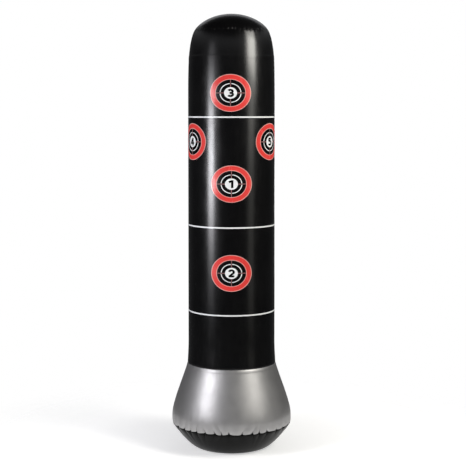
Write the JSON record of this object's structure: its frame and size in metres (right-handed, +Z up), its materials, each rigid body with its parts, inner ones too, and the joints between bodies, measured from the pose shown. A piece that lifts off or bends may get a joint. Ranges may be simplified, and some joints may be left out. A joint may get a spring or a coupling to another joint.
{
  "type": "free standing punching bag",
  "caption": "Inflatable free-standing boxing column on a water-weighted rocking base; bends at the neck when struck and springs upright, with screw-capped air and water valves.",
  "frame": {"origin": "on the floor, under the column's axis, in the middle of the flat sole", "axes": "+Z up along the column, -Y towards the side with the middle row of targets, valves on the +Y side"},
  "size_m": [0.4364, 0.4364, 1.6],
  "materials": {
    "black_vinyl": "glossy printed black vinyl sheet",
    "silver_vinyl": "pearlescent silver-grey vinyl sheet",
    "base_vinyl": "semi-gloss black vinyl sheet",
    "inner_vinyl": "matt black vinyl sheet",
    "water": "clear water",
    "valve_plastic": "satin moulded black plastic",
    "leash_rubber": "soft moulded black rubber",
    "seal_rubber": "pale grey silicone rubber"
  },
  "bodies": {
    "base": {"base_bottom": "base_vinyl", "base_skirt": "silver_vinyl", "diaphragm": "inner_vinyl", "water_ballast": "water", "filler_seat": "valve_plastic", "filler_neck_ring": "leash_rubber", "filler_leash": "leash_rubber"},
    "filler_ring": {"filler_cap_ring": "leash_rubber", "filler_cap_seal": "seal_rubber"},
    "filler_cap": {"filler_cap": "valve_plastic"},
    "neck": {"neck_sleeve_lower": "black_vinyl", "neck_sleeve_upper": "black_vinyl"},
    "column": {"column_wall": "black_vinyl", "shoulder_panel": "black_vinyl", "top_cap": "black_vinyl", "air_valve_seat": "valve_plastic"},
    "insert_gasket": {"air_insert_gasket": "seal_rubber"},
    "valve_insert": {"air_insert": "valve_plastic", "air_neck_ring": "leash_rubber", "air_leash": "leash_rubber"},
    "valve_flap": {"air_flap": "seal_rubber"},
    "valve_cap_ring": {"air_cap_ring": "leash_rubber", "air_cap_seal": "seal_rubber"},
    "valve_cap": {"air_cap": "valve_plastic"}
  },
  "joints": [
    {"name": "column_pitch", "type": "hinge", "parent": "base", "child": "neck", "pos_m": [0, 0, 0.385], "axis": [1, 0, 0], "range_deg": [-25, 25], "stiffness_Nm_per_rad": 60, "deforming": ["neck_sleeve_lower"]},
    {"name": "column_roll", "type": "hinge", "parent": "neck", "child": "column", "pos_m": [0, 0, 0.526], "axis": [0, 1, 0], "range_deg": [-25, 25], "stiffness_Nm_per_rad": 60, "deforming": ["neck_sleeve_upper"]},
    {"name": "filler_cap_rise", "type": "slide", "parent": "base", "child": "filler_ring", "axis": [0, 0.9428, 0.3333], "range_m": [0, 0.006], "deforming": ["filler_leash"]},
    {"name": "filler_cap_turn", "type": "hinge", "parent": "filler_ring", "child": "filler_cap", "pos_m": [0, 0.18991, 0.229], "axis": [0, 0.9428, 0.3333], "range_deg": [0, 720]},
    {"name": "air_insert_rise", "type": "slide", "parent": "column", "child": "insert_gasket", "axis": [0, 1, 0.0015], "range_m": [0, 0.006]},
    {"name": "air_insert_turn", "type": "hinge", "parent": "insert_gasket", "child": "valve_insert", "pos_m": [0, 0.15857, 0.7], "axis": [0, 1, 0.0015], "range_deg": [0, 720]},
    {"name": "air_flap_open", "type": "slide", "parent": "valve_insert", "child": "valve_flap", "axis": [0, -1, -0.0015], "range_m": [0, 0.0014], "stiffness_N_per_m": 100},
    {"name": "air_cap_rise", "type": "slide", "parent": "valve_insert", "child": "valve_cap_ring", "axis": [0, 1, 0.0015], "range_m": [0, 0.0045], "deforming": ["air_leash"]},
    {"name": "air_cap_turn", "type": "hinge", "parent": "valve_cap_ring", "child": "valve_cap", "pos_m": [0, 0.15857, 0.7], "axis": [0, 1, 0.0015], "range_deg": [0, 540]}
  ],
  "couplings": [
    {"joint": "filler_cap_rise", "follows": "filler_cap_turn", "m_per_rad": 0.000477},
    {"joint": "air_insert_rise", "follows": "air_insert_turn", "m_per_rad": 0.000477},
    {"joint": "air_cap_rise", "follows": "air_cap_turn", "m_per_rad": 0.000477}
  ]
}
